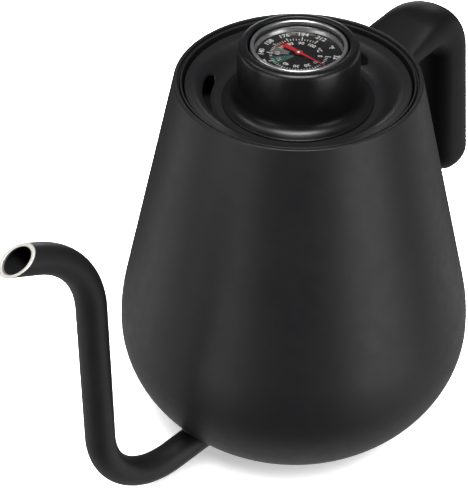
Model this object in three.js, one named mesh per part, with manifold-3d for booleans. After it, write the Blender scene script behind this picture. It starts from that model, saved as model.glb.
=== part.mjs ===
// Gooseneck pour-over kettle with a thermometer in the lid knob.
// Millimetres, +Z up. Origin: centre of the flat base, on the axis of the body.
// The handle lies along +X and the spout along -X.
import * as THREE from 'three';
import { mergeVertices } from 'three/addons/utils/BufferGeometryUtils.js';
import Module from 'manifold-3d';

const wasm = await Module();
wasm.setup();

// ---------------------------------------------------------------- driving dimensions

const GAP = 0.3;                     // clearance between pieces that touch on the real object

// body: a rounded bottom that runs into straight, tapering sides
const BELLY_R = 72.5;
const BELLY_Z = 46;
const RIM_R = 48.8;
const RIM_Z = 163;
const SIDE_ARC_R = 82.6;             // radius of the rounding between belly and sides
const BOTTOM_DEPTH = 59.5;           // vertical half axis of the rounding below the belly
const WALL = 1.0;
const BODY_SIDES = 48;

// base, from the table up
const CAP_R = 42.6;
const CAP_THICK = 1.2;
const SHELL_FOOT_Z = 1.6;            // lower edge of the body shell
const DISC_Z = 1.6;
const DISC_THICK = 3.8;
const FLOOR_Z = 5.8;
const FLOOR_THICK = 1.0;

// neck ring that the lid drops into
const NECK_R = 45.4;
const NECK_WALL = 0.8;
const NECK_DEPTH = 20.6;
const LEDGE_R = 41;

// spout: a thin tube, low in the body, up and over
const SPOUT_R = 6.1;
const SPOUT_BORE_R = 5;
const SPOUT_START = new THREE.Vector2(-44, 12.9);
const SPOUT_DROOP = THREE.MathUtils.degToRad(4);     // fall of the low stretch, outward
const SPOUT_LEAN = THREE.MathUtils.degToRad(1);      // outward lean of the upright stretch
const SPOUT_TILT = THREE.MathUtils.degToRad(24);     // rise of the last stretch
const LOW_RUN = 27.5;
const LOWER_BEND_R = 36;
const UPRIGHT_RUN = 65.7;
const UPPER_BEND_R = 41;
const LAST_RUN = 26;
const TIP_X = 145;
const TIP_Z = 152.8;
const TIP_CUT = THREE.MathUtils.degToRad(26);        // fall of the mouth's plane, outward
const SPOUT_SIDES = 12;
const SPOUT_STEPS = 34;

// handle: an arm below the rim, a bend and a free hanging grip
const ARM_START = new THREE.Vector2(40, 152.6);
const ARM_RISE = THREE.MathUtils.degToRad(6.7);
const ARM_LENGTH = 27;
const HANDLE_BEND_R = 15.4;
const GRIP_LEAN = THREE.MathUtils.degToRad(5.4);
const GRIP_LENGTH = 65;
const GRIP_END = 12;                 // length of the rounded end
const ROOT_AT = 6;                   // where the arm leaves the body and starts to taper
const SECTION_POWER = 2.35;          // superellipse power of the handle's section
const ROOT_POWER = 4.2;              // the same for the flatter top of the arm at the body
const STRAP_LENGTH = 62;
const STRAP_HALF_WIDTH = 6;
const STRAP_HALF_THICK = 1.25;
const PAD_THICK = 0.9;
const HANDLE_SCREW_AT = [21.5, 30];   // along the arm from its start
const HANDLE_SCREW_R = 1.9;
const HANDLE_SCREW_HEAD_R = 3.3;

// lid, heights below from the rim plane
const LID_R = 44.4;
const LID_WALL = 0.9;
const LID_SKIRT_R = 43.2;
const LID_SKIRT_Z = -18.6;
const DISH_Z = -9.5;
const SLOPE_IN_R = 32;
const SLOPE_OUT_R = 41.5;
const SHELF_Z = -2.6;
const SLOT_INNER_R = 34.2;
const SLOT_OUTER_R = 37.4;
const SLOT_SPAN = THREE.MathUtils.degToRad(41);
const SLOT_CENTRE = THREE.MathUtils.degToRad(13);
const SLOT_COUNT = 3;
const LID_SIDES = 40;

// knob and thermometer
const FLANGE_R = 30;
const KNOB_R = 24.4;
const KNOB_TOP_R = 23.7;
const KNOB_TOP_Z = 16;
const RECESS_R = 19.8;
const RECESS_Z = 2.6;
const KNOB_WALL = 2.2;
const KNOB_SIDES = 36;
const NECK_BUSH_R = 4;
const STEM_R = 2.5;
const STEM_BORE_R = 2.1;
const STEM_TIP_Z = -104;
const CASE_R = 18.1;
const BEZEL_R = 19;
const BEZEL_TOP_Z = 15.7;
const DIAL_R = 17.2;
const DIAL_Z = 10.6;
const POINTER_Z = 12;
const POINTER_HEADING = THREE.MathUtils.degToRad(-89);   // where the needle points, room temperature
const POINTER_LENGTH = 14.6;
const TAIL_LENGTH = 9;

// ---------------------------------------------------------------- materials

const paint = { color: 0x262628, roughness: 0.55, metalness: 0.2 };
const phenolic = { color: 0x222224, roughness: 0.5, metalness: 0 };
const steel = { color: 0xb9bbbd, roughness: 0.3, metalness: 1 };
const aluminium = { color: 0xc8cacc, roughness: 0.45, metalness: 1 };
const silicone = { color: 0x1b1b1c, roughness: 0.8, metalness: 0 };
const glass = { color: 0xe8f0f2, roughness: 0.05, metalness: 0 };
const dialBlack = { color: 0x0c0c0d, roughness: 0.6, metalness: 0 };
const pointerRed = { color: 0xc4121a, roughness: 0.4, metalness: 0 };
const brass = { color: 0xc2a15a, roughness: 0.35, metalness: 1 };

// ---------------------------------------------------------------- helpers

const polar = (radius, angle) => new THREE.Vector2(radius * Math.cos(angle), radius * Math.sin(angle));
const point = (x, y) => new THREE.Vector2(x, y);

/** Points of an elliptic arc round (cx, cy), from angle a0 to a1. */
function arc(cx, cy, rx, ry, a0, a1, steps) {
  const points = [];
  for (let i = 0; i <= steps; i += 1) {
    const a = a0 + (a1 - a0) * i / steps;
    points.push(point(cx + rx * Math.cos(a), cy + ry * Math.sin(a)));
  }
  return points;
}

/** A body of revolution about Z. The profile runs up its outside and is closed here. */
function lathe(profile, sides) {
  const first = profile[0];
  const last = profile[profile.length - 1];
  const onAxis = first.x === 0 && last.x === 0;
  const outline = onAxis ? profile : [...profile, first.clone()];
  return new THREE.LatheGeometry(outline, sides).rotateX(Math.PI / 2);
}

/** A plain ring or washer between two radii and two heights. */
function ring(inner, outer, z0, z1, sides) {
  return lathe([point(outer, z0), point(outer, z1), point(inner, z1), point(inner, z0)], sides);
}

/** A plain round bar between two heights. */
function bar(radius, z0, z1, sides) {
  return lathe([point(0, z0), point(radius, z0), point(radius, z1), point(0, z1)], sides);
}

function prism(shape, z0, z1, curveSegments = 12) {
  const options = { depth: z1 - z0, bevelEnabled: false, curveSegments };
  return new THREE.ExtrudeGeometry(shape, options).translate(0, 0, z0);
}

function toSolid(geometry) {
  const bare = geometry.clone();
  bare.deleteAttribute('normal');
  bare.deleteAttribute('uv');
  const merged = mergeVertices(bare, 1e-4);
  const index = merged.index.array;
  const triangles = [];
  for (let i = 0; i < index.length; i += 3) {
    const [a, b, c] = [index[i], index[i + 1], index[i + 2]];
    if (a !== b && b !== c && c !== a) triangles.push(a, b, c);
  }
  return new wasm.Manifold(new wasm.Mesh({
    numProp: 3,
    vertProperties: new Float32Array(merged.attributes.position.array),
    triVerts: new Uint32Array(triangles),
  }));
}

function toGeometry(solid) {
  const mesh = solid.getMesh();
  const geometry = new THREE.BufferGeometry();
  geometry.setAttribute('position', new THREE.BufferAttribute(new Float32Array(mesh.vertProperties), 3));
  geometry.setIndex(new THREE.BufferAttribute(new Uint32Array(mesh.triVerts), 1));
  return geometry;
}

/** The first geometry with every other one cut away. */
function cut(geometry, ...tools) {
  let solid = toSolid(geometry);
  for (const tool of tools) solid = solid.subtract(toSolid(tool));
  return toGeometry(solid);
}

function common(geometry, other) {
  return toGeometry(toSolid(geometry).intersect(toSolid(other)));
}

function piece(parent, name, geometry, look) {
  const mesh = new THREE.Mesh(geometry, new THREE.MeshStandardMaterial(look));
  mesh.name = name;
  parent.add(mesh);
  return mesh;
}

// ---------------------------------------------------------------- body

const rimPoint = point(RIM_R, RIM_Z);
const arcCentre = point(BELLY_R - SIDE_ARC_R, BELLY_Z);

/** Angle on the side arc where the straight sides touch it. */
function tangentAngle() {
  const toRim = rimPoint.clone().sub(arcCentre);
  return toRim.angle() - Math.acos(SIDE_ARC_R / toRim.length());
}

/** The body's outline moved outward by `out`, from height z0 up to the rim. */
function bodyOutline(out, z0) {
  const rx = SIDE_ARC_R + out;
  const rz = BOTTOM_DEPTH + out;
  const touch = tangentAngle();
  const foot = -Math.asin((BELLY_Z - z0) / rz);
  const rim = rimPoint.clone().add(polar(out, touch));
  return [
    ...arc(arcCentre.x, BELLY_Z, rx, rz, foot, 0, 7),
    ...arc(arcCentre.x, BELLY_Z, rx, rx, 0, touch, 2).slice(1),
    rim,
  ];
}

/** Everything inside the body's outline moved outward by `out`. */
function bodyCore(out, z0) {
  const outline = bodyOutline(out, z0);
  const top = outline[outline.length - 1];
  return lathe([point(0, z0), ...outline, point(0, top.y)], BODY_SIDES);
}

function bodyShell() {
  const outside = bodyOutline(0, SHELL_FOOT_Z).slice(0, -1);
  const inside = bodyOutline(-WALL, SHELL_FOOT_Z).slice(0, -1).reverse();
  const lip = NECK_R + NECK_WALL + GAP;
  const lipEnd = RIM_Z - 3.4;
  const rim = [
    point(RIM_R + 0.3, RIM_Z - 1.4),
    point(RIM_R - 0.25, RIM_Z - 0.3),
    point(RIM_R - 0.8, RIM_Z),
    point(lip + 0.95, RIM_Z - 0.1),
    point(lip + 0.7, RIM_Z - 0.5),
    point(lip + 0.6, RIM_Z - 1.1),
    point(lip, RIM_Z - 1.3),
    point(lip, lipEnd),
    point(lip + 0.8, lipEnd),
    point(lip + 0.9, RIM_Z - 1.8),
    point(RIM_R - 0.45, RIM_Z - 1.9),
  ];
  return cut(lathe([...outside, ...rim, ...inside], BODY_SIDES), spoutRod(SPOUT_R + GAP));
}

function neckRing() {
  const top = RIM_Z - 0.7;
  const bottom = RIM_Z - NECK_DEPTH;
  return lathe([
    point(LEDGE_R, bottom - NECK_WALL),
    point(NECK_R, bottom - NECK_WALL),
    point(NECK_R + NECK_WALL, bottom),
    point(NECK_R + NECK_WALL, top),
    point(NECK_R, top),
    point(NECK_R, bottom + 0.4),
    point(NECK_R - 0.4, bottom),
    point(LEDGE_R, bottom),
  ], LID_SIDES);
}

/** A round plate between two heights that stays clear of the body's inside. */
function innerPlate(z0, z1) {
  const edge = bodyOutline(-WALL - GAP, z0)[0];
  const upper = bodyOutline(-WALL - GAP, z1)[0];
  return lathe([point(0, z0), edge, upper, point(0, z1)], BODY_SIDES);
}

function baseCap() {
  const round = 0.9;
  return lathe([
    point(0, 0),
    ...arc(CAP_R - round, round, round, round, -Math.PI / 2, 0, 3),
    point(CAP_R, CAP_THICK),
    point(0, CAP_THICK),
  ], LID_SIDES);
}

// ---------------------------------------------------------------- spout

/** Straights and arcs in the XZ plane, given as a list of turns. */
class BentPath extends THREE.Curve {
  constructor(start, heading, stretches) {
    super();
    this.start = start;
    this.heading = heading;
    this.stretches = stretches;
    this.length = stretches.reduce((sum, s) => sum + s.length, 0);
  }

  /** Position (x, z) and heading at a distance along the path. */
  at(distance) {
    const position = this.start.clone();
    let heading = this.heading;
    let left = distance;
    for (const { length, radius } of this.stretches) {
      const run = Math.min(left, length);
      const turn = radius ? run / radius : 0;
      const chord = radius ? 2 * radius * Math.sin(turn / 2) : run;
      position.add(polar(chord, heading + turn / 2));
      heading += turn;
      left -= run;
      if (left <= 0) break;
    }
    return { position, heading };
  }

  getPoint(t) {
    const { position } = this.at(t * this.length);
    return new THREE.Vector3(position.x, 0, position.y);
  }
}

const straight = (length) => ({ length, radius: 0 });
const bend = (radius, angle) => ({ length: Math.abs(radius * angle), radius: radius * Math.sign(angle) });

/** The spout's middle line, outward from inside the body. */
const spoutPath = new BentPath(SPOUT_START, Math.PI + SPOUT_DROOP, [
  straight(LOW_RUN),
  bend(LOWER_BEND_R, SPOUT_LEAN - SPOUT_DROOP - Math.PI / 2),
  straight(UPRIGHT_RUN),
  bend(UPPER_BEND_R, Math.PI / 2 - SPOUT_LEAN - SPOUT_TILT),
  straight(LAST_RUN),
]);

/** A solid rod along the first part of the spout's line, to open the body for it. */
function spoutRod(radius) {
  return new THREE.CylinderGeometry(radius, radius, LOW_RUN, SPOUT_SIDES)
    .rotateZ(Math.PI / 2)
    .translate(-LOW_RUN / 2, 0, 0)
    .rotateY(-SPOUT_DROOP)
    .translate(SPOUT_START.x, 0, SPOUT_START.y);
}

function spoutTube() {
  const section = new THREE.Shape().absarc(0, 0, SPOUT_R, 0, 2 * Math.PI, false);
  section.holes.push(new THREE.Path().absarc(0, 0, SPOUT_BORE_R, 0, 2 * Math.PI, true));
  const tube = new THREE.ExtrudeGeometry(section, {
    extrudePath: spoutPath,
    steps: SPOUT_STEPS,
    curveSegments: SPOUT_SIDES / 2,
    bevelEnabled: false,
  });
  const block = new THREE.BoxGeometry(80, 40, 40)
    .translate(0, 0, 20)
    .rotateY(-TIP_CUT)
    .translate(-TIP_X, 0, TIP_Z);
  return cut(tube, bodyCore(-WALL, 0.2), block);
}

// ---------------------------------------------------------------- handle

/** The line along the handle's widest place, from inside the body outward. */
const handlePath = new BentPath(ARM_START, ARM_RISE, [
  straight(ARM_LENGTH),
  bend(HANDLE_BEND_R, -(Math.PI / 2 + ARM_RISE - GRIP_LEAN)),
  straight(GRIP_LENGTH),
]);

/** Carries (across, outward, along) in millimetres onto the handle's line. */
function ontoHandle(across, outward, along) {
  const { position, heading } = handlePath.at(along);
  const normal = polar(outward, heading + Math.PI / 2);
  return new THREE.Vector3(position.x + normal.x, across, position.y + normal.y);
}

/** Bends a straight extrusion, whose Z runs from 0 to 1, onto the handle's line. */
function alongHandle(shape, steps, curveSegments, place) {
  const geometry = new THREE.ExtrudeGeometry(shape, { depth: 1, steps, curveSegments, bevelEnabled: false });
  const position = geometry.attributes.position;
  for (let i = 0; i < position.count; i += 1) {
    const spot = place(position.getX(i), position.getY(i), position.getZ(i));
    position.setXYZ(i, spot.x, spot.y, spot.z);
  }
  return geometry.index ? geometry : mergeVertices(geometry);
}

/** Half width, outer and inner thickness and the outer squareness of the handle at a distance along it. */
function handleSection(along) {
  const whole = handlePath.length;
  const bent = ARM_LENGTH + HANDLE_BEND_R * 0.9;
  const toBend = THREE.MathUtils.clamp((along - ROOT_AT) / (bent - ROOT_AT), 0, 1);
  const toEnd = THREE.MathUtils.clamp((along - bent) / (whole - bent), 0, 1);
  const fromEnd = Math.min((whole - along) / GRIP_END, 1);
  const dome = Math.max(Math.sqrt(1 - (1 - fromEnd) ** 2), 0.12);
  return {
    width: dome * (14.1 - 1.5 * toBend - 0.7 * toEnd),
    outer: dome * (1.4 + 8.7 * toBend + 1.7 * toEnd),
    inner: dome * (10.5 - 2.2 * toBend),
    square: THREE.MathUtils.lerp(ROOT_POWER, SECTION_POWER, toBend),
  };
}

/** A closed superellipse of half axes 1. */
function squircle(power, points) {
  const shape = new THREE.Shape();
  for (let i = 0; i < points; i += 1) {
    const a = 2 * Math.PI * i / points;
    const x = Math.sign(Math.cos(a)) * Math.abs(Math.cos(a)) ** (2 / power);
    const y = Math.sign(Math.sin(a)) * Math.abs(Math.sin(a)) ** (2 / power);
    if (i === 0) shape.moveTo(x, y);
    else shape.lineTo(x, y);
  }
  shape.closePath();
  return shape;
}

function handleSolid() {
  const steps = 22;
  return alongHandle(squircle(SECTION_POWER, 20), steps, 1, (u, v, t) => {
    const eased = t < 0.8 ? t * 1.09 : 0.872 + 0.128 * Math.sin((t - 0.8) / 0.2 * Math.PI / 2);
    const along = eased * handlePath.length;
    const { width, outer, inner, square } = handleSection(along);
    if (v <= 0) return ontoHandle(u * width, v * inner, along);
    const flatter = SECTION_POWER / square;
    return ontoHandle(Math.sign(u) * Math.abs(u) ** flatter * width, v ** flatter * outer, along);
  });
}

/** A flat bar bent along the middle of the handle. */
function strapSolid(halfWidth, halfThick, length, start) {
  const shape = new THREE.Shape();
  shape.moveTo(-halfWidth, -halfThick);
  shape.lineTo(halfWidth, -halfThick);
  shape.lineTo(halfWidth, halfThick);
  shape.lineTo(-halfWidth, halfThick);
  shape.closePath();
  const depth = -4;
  return alongHandle(shape, 14, 1, (u, v, t) => ontoHandle(u, v + depth, start + t * length));
}

/** A round bar square to the arm, between two depths from the handle's line. */
function armPin(radius, from, to, along, sides) {
  const { position, heading } = handlePath.at(along);
  return bar(radius, from, to, sides)
    .rotateY(-heading)
    .translate(position.x, 0, position.y);
}

function handleStrap() {
  const strap = strapSolid(STRAP_HALF_WIDTH, STRAP_HALF_THICK, STRAP_LENGTH, 2);
  const holes = HANDLE_SCREW_AT.map((along) => armPin(HANDLE_SCREW_R + GAP, -8, 0, along, 16));
  return cut(strap, bodyCore(GAP, 1), ...holes);
}

function handleGrip() {
  const slack = GAP;
  const slot = strapSolid(STRAP_HALF_WIDTH + slack, STRAP_HALF_THICK + slack, STRAP_LENGTH + 3, 1);
  const tools = [bodyCore(PAD_THICK + 2 * GAP, 1), slot];
  for (const along of HANDLE_SCREW_AT) {
    tools.push(armPin(HANDLE_SCREW_R + GAP, -12, 1.2, along, 16));
    tools.push(armPin(HANDLE_SCREW_HEAD_R + 0.7, -20, -6.1, along, 16));
  }
  return cut(handleSolid(), ...tools);
}

function handlePad() {
  const slot = strapSolid(STRAP_HALF_WIDTH + GAP, STRAP_HALF_THICK + GAP, STRAP_LENGTH, 1);
  const sleeve = cut(bodyCore(PAD_THICK + GAP, 1), bodyCore(GAP, 0.5));
  const low = new THREE.BoxGeometry(90, 60, 60).translate(45, 0, RIM_Z - 30);
  return cut(common(common(handleSolid(), sleeve), low), slot);
}

function handleScrew(along) {
  const { position, heading } = handlePath.at(along);
  const profile = [
    point(0, -8.6),
    point(HANDLE_SCREW_HEAD_R - 0.8, -8.6),
    point(HANDLE_SCREW_HEAD_R, -7.8),
    point(HANDLE_SCREW_HEAD_R, -6.4),
    point(HANDLE_SCREW_R, -6.4),
    point(HANDLE_SCREW_R, 0.4),
    point(HANDLE_SCREW_R - 0.5, 0.9),
    point(0, 0.9),
  ];
  const drive = new THREE.CylinderGeometry(1.5, 1.5, 2.8, 6).rotateX(Math.PI / 2).translate(0, 0, -8.6);
  return cut(lathe(profile, 16), drive)
    .rotateY(-heading)
    .translate(position.x, 0, position.y);
}

// ---------------------------------------------------------------- lid

/** Height of the dished top of the lid at a radius: a flat floor, a slope and a nearly flat shelf. */
function dishHeight(radius) {
  return THREE.MathUtils.lerp(DISH_Z, SHELF_Z, THREE.MathUtils.smoothstep(radius, SLOPE_IN_R, SLOPE_OUT_R));
}

function lidPan() {
  const top = [];
  for (const radius of [32.5, 34.5, 36.5, 38.5, 40, 41.5]) top.push(point(radius, dishHeight(radius)));
  const edge = [
    point(LID_R - 0.5, SHELF_Z + 0.25),
    point(LID_R, SHELF_Z),
    point(LID_R, SHELF_Z - 0.6),
    point(LID_SKIRT_R, SHELF_Z - 1.1),
  ];
  const upper = [point(NECK_BUSH_R + 0.4, DISH_Z), ...top, ...edge];
  const inside = [...top].reverse().map((p) => point(Math.min(p.x, LID_SKIRT_R - 2) - 0.3, p.y - LID_WALL));
  const skirt = [
    point(LID_SKIRT_R, -4.2),
    point(LID_SKIRT_R, LID_SKIRT_Z),
    point(LID_SKIRT_R - LID_WALL, LID_SKIRT_Z),
    point(LID_SKIRT_R - LID_WALL, -4.6),
  ];
  const under = [...skirt, ...inside, point(NECK_BUSH_R + 0.4, DISH_Z - LID_WALL)];
  const profile = [...upper, ...under].reverse();
  const slots = [];
  for (let i = 0; i < SLOT_COUNT; i += 1) {
    slots.push(slotCutter().rotateZ(SLOT_CENTRE + 2 * Math.PI * i / SLOT_COUNT));
  }
  return cut(lathe(profile, LID_SIDES), ...slots);
}

/** A curved slot with blunt, rounded ends, standing on the X axis. */
function slotCutter() {
  const steps = 8;
  const along = (i) => Math.sin(Math.PI / 2 * (2 * i / steps - 1));
  const outline = [];
  const middle = (SLOT_INNER_R + SLOT_OUTER_R) / 2;
  const half = (SLOT_OUTER_R - SLOT_INNER_R) / 2;
  for (let i = 0; i <= steps; i += 1) {
    const t = along(i);
    outline.push(polar(middle + half * (1 - t ** 8), t * SLOT_SPAN / 2));
  }
  for (let i = steps - 1; i > 0; i -= 1) {
    const t = along(i);
    outline.push(polar(middle - half * (1 - t ** 8), t * SLOT_SPAN / 2));
  }
  return prism(new THREE.Shape(outline), -14, 2);
}

function lidUnderplate() {
  const edge = LID_SKIRT_R - LID_WALL - GAP;
  const shape = new THREE.Shape().absarc(0, 0, edge, 0, 2 * Math.PI, false);
  shape.holes.push(new THREE.Path().absarc(0, 0, STEM_R + GAP, 0, 2 * Math.PI, true));
  const steamHoles = 9;
  for (let i = 0; i < steamHoles; i += 1) {
    const spot = polar(31, 2 * Math.PI * (i + 0.5) / steamHoles);
    shape.holes.push(new THREE.Path().absarc(spot.x, spot.y, 2.4, 0, 2 * Math.PI, true));
  }
  return prism(shape, LID_SKIRT_Z, LID_SKIRT_Z + 0.9, 8);
}

function lidGasket() {
  const inner = LID_SKIRT_R + GAP;
  const outer = NECK_R - GAP;
  const z0 = LID_SKIRT_Z - 1.4;
  return lathe([
    point(inner, z0),
    point(outer - 0.7, z0),
    point(outer, z0 + 1),
    point(outer, z0 + 1.8),
    point(inner + 0.8, z0 + 2.8),
    point(outer, z0 + 3.8),
    point(outer, z0 + 4.6),
    point(inner + 0.8, z0 + 5.6),
    point(inner, z0 + 6.4),
  ], LID_SIDES);
}

// ---------------------------------------------------------------- knob

function knobShell() {
  const floor = RECESS_Z - KNOB_WALL;
  const flare = 4.6;
  const base = DISH_Z + GAP;
  return lathe([
    point(KNOB_R - KNOB_WALL - 0.4, base),
    point(FLANGE_R - 0.3, base),
    point(FLANGE_R, base + 0.5),
    ...arc(KNOB_R + flare, base + 0.8 + flare, flare, flare, -Math.PI / 2, -Math.PI, 4),
    ...arc(KNOB_TOP_R - 2.2, KNOB_TOP_Z - 2.2, 2.2, 2.2, 0, Math.PI / 2, 4),
    ...arc(RECESS_R + 0.7, KNOB_TOP_Z - 0.7, 0.7, 0.7, Math.PI / 2, Math.PI, 2),
    point(RECESS_R, RECESS_Z),
    point(NECK_BUSH_R + 0.4, RECESS_Z),
    point(NECK_BUSH_R + 0.4, floor),
    point(KNOB_R - KNOB_WALL - 1, floor),
  ], KNOB_SIDES);
}

function knobGasket() {
  return ring(17.5, KNOB_R - KNOB_WALL - 0.8, DISH_Z + GAP, DISH_Z + 1.9, KNOB_SIDES);
}

// ---------------------------------------------------------------- thermometer

function thermoCase() {
  const floor = RECESS_Z + GAP;
  const step = DIAL_Z - GAP;
  return lathe([
    point(NECK_BUSH_R + GAP, floor),
    point(CASE_R - 1, floor),
    point(CASE_R, floor + 1),
    point(CASE_R, 12.8),
    point(DIAL_R + GAP, 12.8),
    point(DIAL_R + GAP, step),
    point(DIAL_R - 1, step),
    point(DIAL_R - 1, floor + 0.9),
    point(NECK_BUSH_R + GAP, floor + 0.9),
  ], KNOB_SIDES);
}

function thermoBezel() {
  const inner = CASE_R + GAP;
  return lathe([
    point(inner, 9.8),
    point(BEZEL_R - 0.2, 9.8),
    point(BEZEL_R, 10.2),
    ...arc(BEZEL_R - 0.8, BEZEL_TOP_Z - 0.8, 0.8, 0.8, 0, Math.PI / 2, 3),
    point(DIAL_R + 0.5, BEZEL_TOP_Z - 0.1),
    point(DIAL_R + 0.2, BEZEL_TOP_Z - 0.4),
    point(inner, BEZEL_TOP_Z - 0.6),
  ], KNOB_SIDES);
}

/** The needle with its broad counterweight and hub, needle along +X before it is turned. */
function thermoPointer() {
  const shape = new THREE.Shape();
  const waist = Math.asin(0.5 / 1.6);
  shape.moveTo(POINTER_LENGTH, -0.12);
  shape.lineTo(POINTER_LENGTH, 0.12);
  shape.lineTo(1.6 * Math.cos(waist), 0.5);
  shape.absarc(0, 0, 1.6, waist, Math.PI - 2 * waist, false);
  shape.lineTo(-TAIL_LENGTH, 1.3);
  shape.lineTo(-TAIL_LENGTH, -1.3);
  shape.absarc(0, 0, 1.6, Math.PI + 2 * waist, 2 * Math.PI - waist, false);
  shape.closePath();
  shape.holes.push(new THREE.Path().absarc(0, 0, 0.8, 0, 2 * Math.PI, true));
  return prism(shape, POINTER_Z, POINTER_Z + 0.4, 6).rotateZ(POINTER_HEADING);
}

function stemTube() {
  return lathe([
    point(0, STEM_TIP_Z),
    point(STEM_R - 0.8, STEM_TIP_Z),
    point(STEM_R, STEM_TIP_Z + 0.8),
    point(STEM_R, 6),
    point(STEM_BORE_R, 6),
    point(STEM_BORE_R, STEM_TIP_Z + 1.2),
    point(0, STEM_TIP_Z + 1.2),
  ], 20);
}

function stemBush() {
  const bore = STEM_R + GAP;
  return lathe([
    point(bore, -17),
    point(NECK_BUSH_R - 0.5, -17),
    point(NECK_BUSH_R, -16.5),
    point(NECK_BUSH_R, 4.1),
    point(6.5, 4.1),
    point(6.5, 5.4),
    point(bore, 5.4),
  ], 20);
}

/** A coiled bimetal strip inside the stem's tip. */
function bimetalCoil() {
  const turns = 9;
  const radius = 1.45;
  const z0 = STEM_TIP_Z + 4;
  const pitch = 2.4;
  class Helix extends THREE.Curve {
    getPoint(t) {
      const spot = polar(radius, 2 * Math.PI * turns * t);
      return new THREE.Vector3(spot.x, spot.y, z0 + pitch * turns * t);
    }
  }
  const strip = new THREE.Shape();
  strip.moveTo(-0.3, -0.15);
  strip.lineTo(0.3, -0.15);
  strip.lineTo(0.3, 0.15);
  strip.lineTo(-0.3, 0.15);
  strip.closePath();
  return new THREE.ExtrudeGeometry(strip, { extrudePath: new Helix(), steps: turns * 8, bevelEnabled: false });
}

function hexNut() {
  const shape = new THREE.Shape();
  const corner = 7.5;
  for (let i = 0; i < 6; i += 1) {
    const spot = polar(corner, Math.PI * i / 3);
    if (i === 0) shape.moveTo(spot.x, spot.y);
    else shape.lineTo(spot.x, spot.y);
  }
  shape.closePath();
  shape.holes.push(new THREE.Path().absarc(0, 0, NECK_BUSH_R + GAP, 0, 2 * Math.PI, true));
  return prism(shape, -16, -12.1, 10);
}

// ---------------------------------------------------------------- assembly

const kettle = new THREE.Group();

function addBody() {
  piece(kettle, 'body_shell', bodyShell(), paint);
  piece(kettle, 'neck_ring', neckRing(), paint);
  piece(kettle, 'body_floor', innerPlate(FLOOR_Z, FLOOR_Z + FLOOR_THICK), steel);
  piece(kettle, 'heat_disc', innerPlate(DISC_Z, DISC_Z + DISC_THICK), aluminium);
  piece(kettle, 'base_cap', baseCap(), steel);
  piece(kettle, 'spout_tube', spoutTube(), paint);
}

function addHandle() {
  piece(kettle, 'handle_strap', handleStrap(), steel);
  piece(kettle, 'handle_pad', handlePad(), silicone);
  piece(kettle, 'handle_grip', handleGrip(), phenolic);
  piece(kettle, 'handle_screw_inner', handleScrew(HANDLE_SCREW_AT[0]), steel);
  piece(kettle, 'handle_screw_outer', handleScrew(HANDLE_SCREW_AT[1]), steel);
}

function addLid() {
  const lid = new THREE.Group();
  lid.position.z = RIM_Z;
  kettle.add(lid);
  piece(lid, 'lid_pan', lidPan(), paint);
  piece(lid, 'lid_underplate', lidUnderplate(), steel);
  piece(lid, 'lid_gasket', lidGasket(), silicone);
  piece(lid, 'knob_shell', knobShell(), phenolic);
  piece(lid, 'knob_gasket', knobGasket(), silicone);
  piece(lid, 'stem_washer', ring(NECK_BUSH_R + GAP, 9, -11.8, -10.8, 20), steel);
  piece(lid, 'stem_nut', hexNut(), steel);
  piece(lid, 'stem_bush', stemBush(), steel);
  piece(lid, 'stem_tube', stemTube(), steel);
  piece(lid, 'bimetal_coil', bimetalCoil(), brass);
  piece(lid, 'thermo_case', thermoCase(), steel);
  piece(lid, 'thermo_dial', ring(1.2, DIAL_R, DIAL_Z, DIAL_Z + 0.5, KNOB_SIDES), dialBlack);
  piece(lid, 'lens_gasket', ring(DIAL_R + 0.3, CASE_R, 13.1, 13.4, KNOB_SIDES), silicone);
  piece(lid, 'thermo_lens', bar(CASE_R, 13.7, 14.8, KNOB_SIDES), glass);
  piece(lid, 'thermo_bezel', thermoBezel(), steel);
  piece(lid, 'pointer_shaft', bar(0.5, STEM_TIP_Z + 3, POINTER_Z + 0.9, 12), steel);
  piece(lid, 'thermo_pointer', thermoPointer(), pointerRed);
}

addBody();
addHandle();
addLid();

export default kettle;
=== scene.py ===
"""Gooseneck pour-over kettle with a thermometer in the lid knob: its looks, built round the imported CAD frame.

Sizes are in millimetres until a mesh is made. +Z is up, the handle lies along +X and the spout along -X.
"""

import math

import bmesh
import bpy
from mathutils import Matrix, Vector


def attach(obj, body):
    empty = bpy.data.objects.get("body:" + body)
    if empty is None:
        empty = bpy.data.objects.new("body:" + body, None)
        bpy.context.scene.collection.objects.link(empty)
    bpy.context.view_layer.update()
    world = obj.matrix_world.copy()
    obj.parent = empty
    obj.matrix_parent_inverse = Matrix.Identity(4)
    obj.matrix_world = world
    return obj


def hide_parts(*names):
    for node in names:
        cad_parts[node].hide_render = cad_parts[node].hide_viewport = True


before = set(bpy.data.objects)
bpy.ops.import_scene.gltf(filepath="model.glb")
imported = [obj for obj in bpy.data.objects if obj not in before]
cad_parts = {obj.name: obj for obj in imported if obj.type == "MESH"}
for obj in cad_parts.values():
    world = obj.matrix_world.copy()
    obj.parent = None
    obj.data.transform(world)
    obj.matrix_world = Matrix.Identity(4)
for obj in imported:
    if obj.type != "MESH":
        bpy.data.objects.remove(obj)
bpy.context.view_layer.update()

MM = 0.001
TAU = 2 * math.pi

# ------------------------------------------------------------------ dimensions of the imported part

BELLY_R, BELLY_Z = 72.5, 46.0
RIM_R, RIM_Z = 48.8, 163.0
SIDE_ARC_R = 82.6
BOTTOM_DEPTH = 59.5
FOOT_Z = 1.6
WALL = 1.0
ARC_X = BELLY_R - SIDE_ARC_R

NECK_R, NECK_WALL, NECK_DEPTH, LEDGE_R = 45.4, 0.8, 20.6, 41.0

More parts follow.
